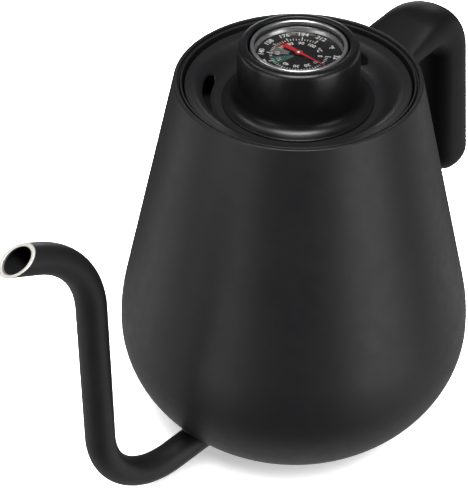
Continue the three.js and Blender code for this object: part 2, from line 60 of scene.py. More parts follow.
SPOUT_R, SPOUT_BORE_R = 6.1, 5.0
SPOUT_START = (-44.0, 12.9)
SPOUT_DROOP, SPOUT_LEAN, SPOUT_TILT = math.radians(4), math.radians(1), math.radians(24)
LOW_RUN, UPRIGHT_RUN, LAST_RUN = 27.5, 65.7, 26.0
LOWER_BEND_R, UPPER_BEND_R = 36.0, 41.0
TIP = Vector((-145.0, 152.8))
TIP_CUT = math.radians(26)

ARM_START = (40.0, 152.6)
ARM_RISE = math.radians(6.7)
ARM_LENGTH = 27.0
HANDLE_BEND_R = 15.4
GRIP_LEAN = math.radians(5.4)
GRIP_LENGTH = 65.0
GRIP_END = 12.0
ROOT_AT = 6.0
PAD_OUT = 1.28
SCREW_AT = (21.5, 30.0)

DISH_Z, SHELF_Z = -9.5, -2.6
SLOPE_IN_R, SLOPE_OUT_R = 32.0, 41.5
HUB_R = 31.0
SLOT_MID, SLOT_HALF, SLOT_HALF_SPAN = 35.8, 1.6, 20.5
SLOT_CENTRES = (13, 133, 253)
LID_WALL = 0.9
LID_SKIRT_R, LID_SKIRT_Z = 43.2, -18.6
STEM_TIP_Z = -104.0

DIAL_TOP = RIM_Z + 11.1
PRINT_THICK = 0.04
DIAL_ZERO = -53.0
DIAL_STEP = 30.0
POINTER_Z = RIM_Z + 12.0
POINTER_HEADING = math.radians(-89)


# ------------------------------------------------------------------ meshes


def make_mesh(name, verts, faces, sharp=30.0):
    """A smooth-shaded mesh object from millimetre points, sharp where faces meet at more than an angle."""
    mesh = bpy.data.meshes.new(name)
    mesh.from_pydata([Vector(v) * MM for v in verts], [], faces)
    obj = bpy.data.objects.new(name, mesh)
    bpy.context.scene.collection.objects.link(obj)
    tidy(obj, sharp)
    return obj


def tidy(obj, sharp=30.0):
    """Joins doubled points, turns the faces outward and shades the mesh smooth."""
    bm = bmesh.new()
    bm.from_mesh(obj.data)
    bmesh.ops.remove_doubles(bm, verts=bm.verts, dist=2e-7)
    bmesh.ops.dissolve_degenerate(bm, edges=bm.edges, dist=1e-8)
    bmesh.ops.recalc_face_normals(bm, faces=bm.faces)
    bm.to_mesh(obj.data)
    bm.free()
    obj.data.polygons.foreach_set("use_smooth", [True] * len(obj.data.polygons))
    obj.data.set_sharp_from_angle(angle=math.radians(sharp))


def rounded(corners, closed=True):
    """Points along a line of (r, z) corners, where a third number rounds that corner."""
    count = len(corners)
    points = []
    for i, corner in enumerate(corners):
        at = Vector(corner[:2])
        if len(corner) < 3 or (not closed and i in (0, count - 1)):
            points.append(at)
            continue
        before = (Vector(corners[i - 1][:2]) - at).normalized()
        after = (Vector(corners[(i + 1) % count][:2]) - at).normalized()
        half = before.angle(after) / 2
        reach = corner[2] / math.tan(half)
        centre = at + (before + after).normalized() * corner[2] / math.sin(half)
        start, end = at + before * reach - centre, at + after * reach - centre
        turn = math.atan2(start.x * end.y - start.y * end.x, start.dot(end))
        steps = max(2, round(abs(turn) / math.radians(15)))
        for k in range(steps + 1):
            points.append(centre + Matrix.Rotation(turn * k / steps, 2) @ start)
    return points


def arc(cx, cz, rx, rz, a0, a1, steps):
    """Points of an elliptic arc, its angles in radians."""
    angles = [a0 + (a1 - a0) * i / steps for i in range(steps + 1)]
    return [Vector((cx + rx * math.cos(a), cz + rz * math.sin(a))) for a in angles]


def grid(rows, closed_rows=False, poles=()):
    """Points and faces between rings of equal count. A pole is a point that closes the first or last ring."""
    count = len(rows[0])
    verts = [p for row in rows for p in row]
    faces = []
    spans = len(rows) if closed_rows else len(rows) - 1
    for i in range(spans):
        a, b = i * count, ((i + 1) % len(rows)) * count
        for j in range(count):
            k = (j + 1) % count
            faces.append((a + j, a + k, b + k, b + j))
    for end, pole in poles:
        base = 0 if end == 0 else (len(rows) - 1) * count
        verts.append(pole)
        for j in range(count):
            faces.append((base + j, base + (j + 1) % count, len(verts) - 1))
    return verts, faces


def lathe(name, profile, sides=192, lift=0.0, closed=True, sharp=30.0):
    """A body of revolution about Z from (r, z) points. An open profile starts and ends on the axis."""
    inner = profile if closed else profile[1:-1]
    rows = []
    for point in inner:
        r, z = point[0], point[1] + lift
        rows.append([(r * math.cos(TAU * j / sides), r * math.sin(TAU * j / sides), z) for j in range(sides)])
    poles = [] if closed else [(0, (0, 0, profile[0][1] + lift)), (1, (0, 0, profile[-1][1] + lift))]
    return make_mesh(name, *grid(rows, closed, poles), sharp)


def prism(name, outline, z0, z1, bevel=0.0, sharp=30.0):
    """An upright plate from an outline of (x, y) points, with its edges rounded by bevel."""
    count = len(outline)
    verts = [(x, y, z0) for x, y in outline] + [(x, y, z1) for x, y in outline]
    faces = [tuple(range(count))[::-1], tuple(range(count, 2 * count))]
    faces += [(i, (i + 1) % count, count + (i + 1) % count, count + i) for i in range(count)]
    obj = make_mesh(name, verts, faces, sharp)
    if bevel:
        modify(obj, "BEVEL", sharp, width=bevel * MM, segments=2, limit_method="ANGLE")
    return obj


def pin(radius, low, high, sides, lift=0.0):
    """A plain round bar about Z, to cut a hole with."""
    corners = [Vector(p) for p in ((0, low), (radius, low), (radius, high), (0, high))]
    return lathe("pin", corners, sides, lift, closed=False)


def modify(obj, kind, sharp=30.0, **settings):
    """Adds a modifier and applies it to the mesh."""
    modifier = obj.modifiers.new(kind, kind)
    for key, value in settings.items():
        setattr(modifier, key, value)
    graph = bpy.context.evaluated_depsgraph_get()
    mesh = bpy.data.meshes.new_from_object(obj.evaluated_get(graph))
    obj.modifiers.clear()
    obj.data = mesh
    tidy(obj, sharp)


def drop_fins(obj, sharp):
    """Splits many-sided faces and removes the slivers that then stick out of the closed mesh."""
    bm = bmesh.new()
    bm.from_mesh(obj.data)
    bmesh.ops.triangulate(bm, faces=[face for face in bm.faces if len(face.verts) > 4])
    while True:
        fins = [face for face in bm.faces if any(len(edge.link_faces) == 1 for edge in face.edges)]
        if not fins:
            break
        bmesh.ops.delete(bm, geom=fins, context="FACES")
    bm.to_mesh(obj.data)
    bm.free()
    tidy(obj, sharp)


def carve(obj, *cutters, operation="DIFFERENCE", sharp=30.0):
    """Cuts the cutters out of a mesh, or keeps what they share with it, and removes them."""
    for cutter in cutters:
        modify(obj, "BOOLEAN", sharp, operation=operation, solver="EXACT", object=cutter)
        bpy.data.objects.remove(cutter)
    drop_fins(obj, sharp)


def join(name, objects):
    """Makes one mesh of several."""
    bm = bmesh.new()
    for obj in objects:
        obj.data.transform(obj.matrix_world)
        bm.from_mesh(obj.data)
        bpy.data.objects.remove(obj)
    mesh = bpy.data.meshes.new(name)
    bm.to_mesh(mesh)
    bm.free()
    joined = bpy.data.objects.new(name, mesh)
    bpy.context.scene.collection.objects.link(joined)
    tidy(joined)
    return joined


def dress(obj, material):
    obj.data.materials.clear()
    obj.data.materials.append(material)


def finish_piece(obj, body, slot, material, *replaced):
    """Gives a piece its finish and its body, and hides the CAD nodes that it stands for. The slot argument is
    not used.
    """
    dress(obj, material)
    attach(obj, body)
    if replaced:
        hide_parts(*replaced)
    return obj


# ------------------------------------------------------------------ materials


class Nodes:
    """A material's node tree with short calls for what the finishes share."""

    def __init__(self, name):
        self.material = bpy.data.materials.new(name)
        self.material.use_nodes = True
        self.tree = self.material.node_tree
        self.tree.nodes.clear()
        self.output = self.add("ShaderNodeOutputMaterial")
        self.place = self.add("ShaderNodeTexCoord").outputs["Object"]

    def add(self, kind, inputs=None, **settings):
        node = self.tree.nodes.new(kind)
        for key, value in settings.items():
            setattr(node, key, value)
        for key, value in (inputs or {}).items():
            if isinstance(value, bpy.types.NodeSocket):
                self.tree.links.new(value, node.inputs[key])
            else:
                node.inputs[key].default_value = value
        return node

    def noise(self, size_mm, detail=2.0, rough=0.5):
        """Noise from 0 to 1 whose features are about size_mm across."""
        inputs = {"Vector": self.place, "Scale": 1000 / size_mm, "Detail": detail, "Roughness": rough}
        return self.add("ShaderNodeTexNoise", inputs).outputs["Fac"]

    def spread(self, value, low, high, start=0.3, end=0.7):
        """Maps a 0 to 1 value onto a range."""
        inputs = {"Value": value, "From Min": start, "From Max": end, "To Min": low, "To Max": high}
        return self.add("ShaderNodeMapRange", inputs).outputs["Result"]

    def blend(self, value, first, second):
        """Mixes two colours by a socket's 0 to 1 value."""
        node = self.add("ShaderNodeMix", data_type="RGBA")
        sockets = {s.identifier: s for s in node.inputs}
        self.tree.links.new(value, sockets["Factor_Float"])
        sockets["A_Color"].default_value = (*first, 1)
        sockets["B_Color"].default_value = (*second, 1)
        return next(s for s in node.outputs if s.identifier == "Result_Color")

    def bump(self, height, depth_mm, normal=None):
        """A fine relief of a depth, over another relief if one is given."""
        inputs = {"Height": height, "Distance": depth_mm * MM, "Strength": 1.0}
        if normal is not None:
            inputs["Normal"] = normal
        return self.add("ShaderNodeBump", inputs).outputs["Normal"]

    def rings(self, size_mm):
        """Fine turning marks about the Z axis, from 0 to 1."""
        flat = self.add("ShaderNodeVectorMath", {0: self.place, 1: (1, 1, 0)}, operation="MULTIPLY")
        radius = self.add("ShaderNodeVectorMath", {0: flat.outputs["Vector"]}, operation="LENGTH")
        inputs = {"W": radius.outputs["Value"], "Scale": 1000 / size_mm, "Detail": 3.0}
        return self.add("ShaderNodeTexNoise", inputs, noise_dimensions="1D").outputs["Fac"]

    def surface(self, **inputs):
        """Ends the tree in a principled shader with these inputs."""
        shader = self.add("ShaderNodeBsdfPrincipled", {k.replace("_", " "): v for k, v in inputs.items()})
        self.tree.links.new(shader.outputs[0], self.output.inputs["Surface"])
        return self.material


def coated(name, dark, light, rough, grain_mm, grain_depth, level=0.5):
    """A matt coat or moulding: fine grain, slow changes of tone and gloss."""
    n = Nodes(name)
    slow = n.noise(22, 3, 0.6)
    fine = n.noise(grain_mm, 2)
    tone = n.blend(n.spread(slow, 0, 1), dark, light)
    gloss = n.spread(n.noise(6, 4, 0.65), rough[0], rough[1])
    broad = n.bump(n.noise(grain_mm * 4), grain_depth * 1.5)
    return n.surface(
        Base_Color=tone,
        Roughness=gloss,
        Specular_IOR_Level=level,
        Normal=n.bump(fine, grain_depth, broad),
    )


def metal(name, dark, light, rough, mark_mm, depth, turned=True):
    """Bare metal with turning marks or a fine scatter of marks."""
    n = Nodes(name)
    marks = n.rings(mark_mm) if turned else n.noise(mark_mm, 4, 0.6)
    tone = n.blend(n.spread(n.noise(9, 3), 0, 1), dark, light)
    gloss = n.spread(marks, rough[0], rough[1])
    return n.surface(Base_Color=tone, Metallic=1.0, Roughness=gloss, Normal=n.bump(marks, depth))


def printed(name, colour, worn):
    """Screen printed ink, slightly uneven."""
    n = Nodes(name)
    tone = n.blend(n.spread(n.noise(0.5, 3), 0, 1), colour, worn)
    rough = n.spread(n.noise(0.3), 0.4, 0.6)
    return n.surface(Base_Color=tone, Roughness=rough, Normal=n.bump(n.noise(0.2), 0.01))


def clear_glass(name):
    """A flat pane: clear, with its reflections set by Fresnel and faint smears in its gloss."""
    n = Nodes(name)
    pane = n.add("ShaderNodeBsdfTransparent", {"Color": (0.985, 0.985, 0.98, 1)})
    smears = n.spread(n.noise(7, 3), 0.02, 0.08)
    gloss = n.add("ShaderNodeBsdfGlossy", {"Color": (1, 1, 1, 1), "Roughness": smears})
    fresnel = n.add("ShaderNodeFresnel", {"IOR": 1.45})
    behind = n.add("ShaderNodeNewGeometry").outputs["Backfacing"]
    front = n.add("ShaderNodeMath", {0: 1.0, 1: behind}, operation="SUBTRACT").outputs[0]
    share = n.add("ShaderNodeMath", {0: fresnel.outputs[0], 1: front}, operation="MULTIPLY").outputs[0]
    mix = n.add("ShaderNodeMixShader", {0: share, 1: pane.outputs[0], 2: gloss.outputs[0]})
    n.tree.links.new(mix.outputs[0], n.output.inputs["Surface"])
    return n.material


powder_coat = coated(
    "powder_coat", (0.0125, 0.0125, 0.0135), (0.0165, 0.0165, 0.0175), (0.42, 0.5), 0.45, 0.012,
)
moulding = coated(
    "satin_moulding", (0.0035, 0.0035, 0.0038), (0.0055, 0.0055, 0.0058), (0.3, 0.37), 0.3, 0.006, 0.62,
)
grip_moulding = coated(
    "grip_moulding", (0.005, 0.005, 0.0053), (0.0075, 0.0075, 0.008), (0.46, 0.54), 0.3, 0.006, 0.3,
)
rubber = coated(
    "silicone_rubber", (0.009, 0.009, 0.0095), (0.014, 0.014, 0.0145), (0.62, 0.75), 0.25, 0.01, 0.35,
)
brushed = metal("turned_steel", (0.56, 0.555, 0.55), (0.66, 0.655, 0.65), (0.24, 0.36), 0.12, 0.004)
bright = metal("bright_steel", (0.8, 0.795, 0.79), (0.86, 0.855, 0.85), (0.26, 0.36), 0.2, 0.001)
pressed = metal("pressed_steel", (0.52, 0.515, 0.51), (0.62, 0.615, 0.61), (0.26, 0.4), 0.6, 0.006, False)
bare_lip = metal("bare_lip", (0.88, 0.855, 0.79), (0.95, 0.925, 0.86), (0.42, 0.55), 0.4, 0.003, False)
cast_aluminium = metal(
    "cast_aluminium", (0.62, 0.625, 0.63), (0.72, 0.725, 0.73), (0.38, 0.52), 0.5, 0.01,
)
bimetal = metal("bimetal_strip", (0.5, 0.36, 0.16), (0.62, 0.46, 0.22), (0.28, 0.4), 0.3, 0.003, False)
dial_face = coated("dial_face", (0.006, 0.006, 0.007), (0.01, 0.0095, 0.01), (0.38, 0.48), 0.15, 0.004)
ink_white = printed("ink_white", (0.82, 0.82, 0.8), (0.66, 0.66, 0.65))
ink_red = printed("ink_red", (0.62, 0.035, 0.03), (0.48, 0.03, 0.03))
ink_grey = printed("ink_grey", (0.52, 0.5, 0.48), (0.4, 0.38, 0.37))
ink_green = printed("ink_green", (0.07, 0.22, 0.18), (0.12, 0.32, 0.27))
pointer_red = printed("pointer_lacquer", (0.7, 0.018, 0.025), (0.55, 0.012, 0.02))
lens_clear = clear_glass("lens_clear")


# ------------------------------------------------------------------ body

to_rim = Vector((RIM_R - ARC_X, RIM_Z - BELLY_Z))
TOUCH = math.atan2(to_rim.y, to_rim.x) - math.acos(SIDE_ARC_R / to_rim.length)


def body_radius(z, out=0.0):
    """Radius of the body's outline, moved outward by out, at a height."""
    reach = SIDE_ARC_R + out
    if z < BELLY_Z:
        return ARC_X + reach * math.sqrt(1 - ((BELLY_Z - z) / (BOTTOM_DEPTH + out)) ** 2)
    rise = reach * math.sin(TOUCH)
    if z - BELLY_Z < rise:
        return ARC_X + math.sqrt(reach**2 - (z - BELLY_Z) ** 2)
    return ARC_X + reach * math.cos(TOUCH) - (z - BELLY_Z - rise) * math.tan(TOUCH)


def body_outline(out, top):
    """The body's outline from its foot up to a height."""
    foot = -math.asin((BELLY_Z - FOOT_Z) / (BOTTOM_DEPTH + out))
    lower = arc(ARC_X, BELLY_Z, SIDE_ARC_R + out, BOTTOM_DEPTH + out, foot, 0, 44)
    middle = arc(ARC_X, BELLY_Z, SIDE_ARC_R + out, SIDE_ARC_R + out, 0, TOUCH, 10)[1:]
    start, steps = middle[-1].y, 36
    heights = [start + (top - start) * (i + 1) / steps for i in range(steps)]
    return lower + middle + [Vector((body_radius(z, out), z)) for z in heights]


def body_shell():
    """The thin body wall with its grooved rim and the hole that the spout goes through."""
    outside = body_outline(0, RIM_Z - 1.2)
    inside = body_outline(-WALL, RIM_Z - 3.2)[::-1]
    lip = NECK_R + NECK_WALL + 0.25
    rim = rounded([
        outside[-1],
        (RIM_R + 0.02, RIM_Z, 0.6),
        (lip + 0.85, RIM_Z, 0.35),
        (lip + 0.7, RIM_Z - 1.3, 0.2),
        (lip, RIM_Z - 1.5, 0.2),
        (lip, RIM_Z - 3.4, 0.15),
        (lip + 0.8, RIM_Z - 3.4, 0.15),
        (lip + 0.9, RIM_Z - 1.7, 0.2),
        (RIM_R - 0.5, RIM_Z - 1.7),
        inside[0],
    ], closed=False)
    shell = lathe("kettle_shell", outside + rim[1:-1] + inside, sides=192)
    hole = pin(SPOUT_R + 0.25, 0, LOW_RUN, 48)
    start = Matrix.Translation((SPOUT_START[0] * MM, 0, SPOUT_START[1] * MM))
    hole.data.transform(start @ Matrix.Rotation(-math.pi / 2 - SPOUT_DROOP, 4, "Y"))
    carve(shell, hole)
    return shell


def neck_collar():
    """The ring inside the rim, with the ledge under the lid's seal."""
    top, bottom, out = RIM_Z - 0.7, RIM_Z - NECK_DEPTH, NECK_R + NECK_WALL
    return lathe("neck_collar", rounded([
        (LEDGE_R, bottom - NECK_WALL, 0.2),
        (out, bottom - NECK_WALL, 1.1),
        (out, top, 0.25),
        (NECK_R, top, 0.3),
        (NECK_R, bottom, 0.9),
        (LEDGE_R, bottom, 0.3),
    ]))


def base_plate():
    """The pressed plate under the kettle, with a raised middle and a shallow ring groove."""
    return lathe("base_plate", rounded([
        (0, 0.35),
        (11, 0.35, 1.2),
        (12.2, 0, 1.0),
        (27.5, 0, 0.8),
        (28.3, 0.45, 0.5),
        (30.2, 0.45, 0.5),
        (31, 0, 0.8),
        (42.6, 0, 0.85),
        (42.6, 1.2, 0.2),
        (0, 1.2),
    ], closed=False), closed=False)


def inner_floor():
    """The dished steel floor inside the body."""
    low, high = 5.8, 6.8
    edge, upper = body_radius(low, -WALL - 0.15), body_radius(high, -WALL - 0.15)
    return lathe("inner_floor", rounded([
        (0, low),
        (edge, low, 0.1),
        (upper, high, 0.1),
        (edge - 2.6, high - 0.04, 0.8),
        (edge - 4.0, high - 0.3, 1.0),
        (0, high - 0.3),
    ], closed=False), closed=False)


# ------------------------------------------------------------------ bent lines


class BentLine:
    """Straights and arcs in the XZ plane. Each stretch is (length, radius), with radius 0 for a straight."""

    def __init__(self, start, heading, stretches):
        self.start, self.heading, self.stretches = Vector(start), heading, stretches
        self.length = sum(length for length, _ in stretches)

    def at(self, distance):
        position, heading, left = self.start.copy(), self.heading, distance
        for length, radius in self.stretches:
            run = min(left, length) if (length, radius) != self.stretches[-1] else left
            turn = run / radius if radius else 0.0
            chord = 2 * radius * math.sin(turn / 2) if radius else run
            position += chord * Vector((math.cos(heading + turn / 2), math.sin(heading + turn / 2)))
            heading += turn
            left -= run
            if left <= 0:
                break
        return position, heading

    def carry(self, across, outward, along):
        """The point at (across, outward) from the line, at a distance along it."""
        position, heading = self.at(along)
        x = position.x - outward * math.sin(heading)
        z = position.y + outward * math.cos(heading)
        return Vector((x, across, z))


def turn(radius, angle):
    return (abs(radius * angle), math.copysign(radius, angle))


# ------------------------------------------------------------------ spout

spout_line = BentLine(SPOUT_START, math.pi + SPOUT_DROOP, [
    (LOW_RUN, 0),
    turn(LOWER_BEND_R, SPOUT_LEAN - SPOUT_DROOP - math.pi / 2),
    (UPRIGHT_RUN, 0),
    turn(UPPER_BEND_R, math.pi / 2 - SPOUT_LEAN - SPOUT_TILT),
    (LAST_RUN, 0),
])
SPOUT_SIDES = 72
LAST_BEND_END = spout_line.length - LAST_RUN


def spout_point(radius, angle, along):
    return spout_line.carry(radius * math.sin(angle), radius * math.cos(angle), along)


def leaves_body(place, out, low, high):
    """Distance at which a line, given by its points at a distance, leaves the body's outline."""
    for _ in range(30):
        middle = (low + high) / 2
        p = place(middle)
        if math.hypot(p.x, p.y) < body_radius(p.z, out):
            low = middle
        else:
            high = middle
    return (low + high) / 2


def spout_root(radius, angle, out):
    """Distance along the spout's line at which a line on its surface leaves the body's outline."""
    return leaves_body(lambda along: spout_point(radius, angle, along), out, 2.0, LOW_RUN)


def spout_end(radius, angle, back):
    """Distance along the spout's line at which a line on its surface meets the slanting mouth."""
    normal = Vector((-math.sin(TIP_CUT), math.cos(TIP_CUT)))
    at = spout_point(radius, angle, LAST_BEND_END)
    _, heading = spout_line.at(LAST_BEND_END)
    ahead = Vector((math.cos(heading), math.sin(heading)))
    return LAST_BEND_END + ((TIP - Vector((at.x, at.z))).dot(normal) - back) / ahead.dot(normal)


def ring_row(radius, along):
    """A ring of points round the spout's line, at a distance that may change round the ring."""
    row = []
    for j in range(SPOUT_SIDES):
        angle = TAU * j / SPOUT_SIDES
        row.append(spout_point(radius, angle, along(radius, angle)))
    return row


def tube_rows(radius, back):
    """Rings along the tube from inside the body wall to just behind the mouth."""
    first, last = 20.0, LAST_BEND_END + 2.5
    rows = []
    for k in range(4):
        rows.append(ring_row(radius, lambda r, a: spout_root(r, a, -WALL) * (1 - k / 4) + first * k / 4))
    count = 110
    for i in range(count + 1):
        rows.append(ring_row(radius, lambda r, a: first + (last - first) * i / count))
    for k in range(1, 6):
        rows.append(ring_row(radius, lambda r, a: last + (spout_end(r, a, back) - last) * k / 5))
    return rows


def spout_tube():
    soft = 0.12
    outside = tube_rows(SPOUT_R, 0.3 + soft)
    inside = tube_rows(SPOUT_BORE_R, 0.3)[::-1]
    edge = [ring_row(SPOUT_R - soft, lambda r, a: spout_end(r, a, 0.3))]
    return make_mesh("spout", *grid(outside + edge + inside, closed_rows=True))


def spout_lip():
    """The bare metal edge of the slanting mouth."""
    outer, inner, soft = SPOUT_R - 0.03, SPOUT_BORE_R - 0.14, 0.14
    plan = [(outer, 0.5), (outer, soft), (outer - soft * 0.3, soft * 0.3), (outer - soft, 0)]
    plan += [(outer - 0.4, 0), (inner + 0.35, 0), (inner + soft, 0)]
    plan += [(inner + soft * 0.3, soft * 0.3), (inner, soft), (inner, 0.9)]
    plan += [(inner + 0.25, 1.3), (outer - 0.45, 1.3), (outer - 0.45, 0.5)]
    rows = [ring_row(radius, lambda r, a: spout_end(r, a, back)) for radius, back in plan]
    return make_mesh("spout_lip", *grid(rows, closed_rows=True))


def spout_weld():
    """The fine welded seam where the spout meets the body."""
    around, across = 144, 12
    rows = []
    for i in range(around):
        angle = TAU * i / around
        radius = SPOUT_R + 0.1
        centre = spout_point(radius, angle, spout_root(radius, angle, 0))
        from_tube = Vector((0, math.sin(angle), -math.cos(angle)))
        slope = (body_radius(centre.z + 0.1) - body_radius(centre.z - 0.1)) / 0.2
        from_body = Vector((centre.x, centre.y, 0)).normalized() - Vector((0, 0, slope))
        from_body.normalize()
        bead = 0.42 + 0.035 * math.sin(36 * angle)
        row = []
        for k in range(across):
            a = TAU * k / across
            row.append(centre + bead * (math.cos(a) * from_tube + math.sin(a) * from_body))
        rows.append(row)
    return make_mesh("spout_weld", *grid(rows, closed_rows=True))


# ------------------------------------------------------------------ handle

handle_line = BentLine(ARM_START, ARM_RISE, [
    (ARM_LENGTH, 0),
    turn(HANDLE_BEND_R, -(math.pi / 2 + ARM_RISE - GRIP_LEAN)),
    (GRIP_LENGTH, 0),
])
BENT = ARM_LENGTH + HANDLE_BEND_R * 0.9
SECTION_POWER, ROOT_POWER = 2.35, 4.2
HANDLE_SIDES = 112


def clamp(value, low=0.0, high=1.0):
    return min(max(value, low), high)


def handle_point(u, v, along, inset=0.0):
    """A point of the handle's surface, where (u, v) is a point of its section scaled to one."""
    whole = handle_line.length
    to_bend = clamp((along - ROOT_AT) / (BENT - ROOT_AT))
    to_end = clamp((along - BENT) / (whole - BENT))
    from_end = min((whole - along) / GRIP_END, 1)
    dome = math.sqrt(max(1 - (1 - from_end) ** 2, 0))
    width = dome * (14.1 - 1.5 * to_bend - 0.7 * to_end) - inset
    outer = dome * (1.4 + 8.7 * to_bend + 1.7 * to_end) - inset
    inner = dome * (10.5 - 2.2 * to_bend) - inset
    if v <= 0:
        return handle_line.carry(u * width, v * inner, along)
    flatter = SECTION_POWER / (ROOT_POWER + (SECTION_POWER - ROOT_POWER) * to_bend)
    return handle_line.carry(math.copysign(abs(u) ** flatter, u) * width, v**flatter * outer, along)


def section():
    """Points of the handle's section, a superellipse scaled to one."""
    power = 2 / SECTION_POWER
    points = []
    for j in range(HANDLE_SIDES):
        a = TAU * j / HANDLE_SIDES
        points.append(tuple(math.copysign(abs(part) ** power, part) for part in (math.cos(a), math.sin(a))))
    return points


SECTION = section()


def handle_root(u, v, out, inset=0.0):
    """Distance along the handle at which a line on its surface leaves the body's outline."""
    return leaves_body(lambda along: handle_point(u, v, along, inset), out, 2.0, 26.0)


def root_row(scale, out, inset=0.0, shift=0.0):
    row = []
    for u, v in SECTION:
        u, v = u * scale, v * scale
        row.append(handle_point(u, v, handle_root(u, v, out, inset) + shift, inset))
    return row


def root_cap(out, inset=0.0):
    """Rings that close the handle's end along the body's outline, from the middle outward."""
    centre = handle_point(0, 0, handle_root(0, 0, out, inset), inset)
    return centre, [root_row(scale, out, inset) for scale in (0.2, 0.4, 0.6, 0.8, 0.93)]


def strap_cutter(slack, length):
    """The flat slot that the handle's strap lies in."""
    half_width, half_thick, depth, steps = 6 + slack, 1.25 + slack, -4, 40
    corners = ((-1, -1), (1, -1), (1, 1), (-1, 1))
    rows = []
    for i in range(steps + 1):
        along = 1 + length * i / steps
        rows.append([handle_line.carry(u * half_width, depth + v * half_thick, along) for u, v in corners])
    ends = [(0, sum(rows[0], Vector()) / 4), (1, sum(rows[-1], Vector()) / 4)]
    return make_mesh("strap_cutter", *grid(rows, False, ends))


def arm_turned(name, profile, along, sides):
    """A turned piece square to the arm."""
    obj = lathe(name, profile, sides, closed=False)
    position, heading = handle_line.at(along)
    place = Matrix.Translation((position.x * MM, 0, position.y * MM)) @ Matrix.Rotation(-heading, 4, "Y")
    obj.data.transform(place)
    return obj


def handle_grip():
    """The moulded grip, cut out for the strap and its two screws."""
    whole, edge = handle_line.length, 0.3
    centre, rows = root_cap(PAD_OUT)
    rows.append(root_row(1, PAD_OUT, edge))
    rows.append(root_row(1, PAD_OUT, edge * 0.3, edge * 0.3))
    steps = 16
    for i in range(steps):
        row = []
        for u, v in SECTION:
            root = handle_root(u, v, PAD_OUT) + edge
            row.append(handle_point(u, v, root + (ARM_LENGTH - root) * i / steps))
        rows.append(row)
    steps = 72
    straight_end = whole - GRIP_END
    for i in range(steps + 1):
        along = ARM_LENGTH + (straight_end - ARM_LENGTH) * i / steps
        rows.append([handle_point(u, v, along) for u, v in SECTION])
    steps = 18
    for i in range(1, steps):
        along = straight_end + GRIP_END * math.sin(math.pi / 2 * i / steps)
        rows.append([handle_point(u, v, along) for u, v in SECTION])
    ends = [(0, centre), (1, handle_point(0, 0, whole))]
    grip = make_mesh("handle_shell", *grid(rows, False, ends), sharp=40)
    carve(grip, strap_cutter(0.3, 65), sharp=40)
    hole = rounded([
        (0, -20),
        (4.5, -20),
        (4.0, -8.4, 0.5),
        (4.0, -6.1),
        (2.2, -6.1),
        (2.2, 1.2),
        (0, 1.2),
    ], closed=False)
    for along in SCREW_AT:
        carve(grip, arm_turned("hole", hole, along, 48), sharp=40)
    return grip


def handle_gasket():
    """The thin pad between the grip and the body, its edge slightly bulged."""
    inset, low_out, high_out = 0.45, 0.06, PAD_OUT - 0.02
    low_centre, low = root_cap(low_out, inset)
    high_centre, high = root_cap(high_out, inset)
    bulge = root_row(1, PAD_OUT / 2, inset - 0.12)
    sides = [root_row(1, low_out, inset), bulge, root_row(1, high_out, inset)]
    ends = [(0, low_centre), (1, high_centre)]
    gasket = make_mesh("handle_gasket", *grid(low + sides + high[::-1], False, ends), 40)
    carve(gasket, strap_cutter(0.3, 20), sharp=40)
    return gasket


def handle_screw(name, along):
    """A button-head screw with a hexagon socket, its head in the underside of the arm."""
    screw = arm_turned(name, rounded([
        (0, -8.6),
        (2.2, -8.6, 0.8),
        (3.3, -7.7, 0.5),
        (3.3, -6.4, 0.15),
        (1.9, -6.4, 0.2),
        (1.9, 0.9, 0.4),
        (0, 0.9),
    ], closed=False), along, 64)
    hexagon = [Vector(p) for p in ((0, -9.2), (1.5, -9.2), (1.5, -7.2), (0, -7.0))]
    socket = arm_turned("socket", hexagon, along, 6)
    carve(screw, socket)
    return screw


# ------------------------------------------------------------------ lid


def dish_height(radius):
    """Height of the dished top: a flat floor, a slope and a nearly flat shelf."""
    t = clamp((radius - SLOPE_IN_R) / (SLOPE_OUT_R - SLOPE_IN_R))
    return DISH_Z + (SHELF_Z - DISH_Z) * t * t * (3 - 2 * t)


def slot_opening(degree):
    """How far a steam slot has opened at a whole number of degrees, from 0 to 1."""
    for centre in SLOT_CENTRES:
        t = (degree - centre + 180) % 360 - 180
        if abs(t) < SLOT_HALF_SPAN:
            return 1 - (t / SLOT_HALF_SPAN) ** 8
    return 0.0


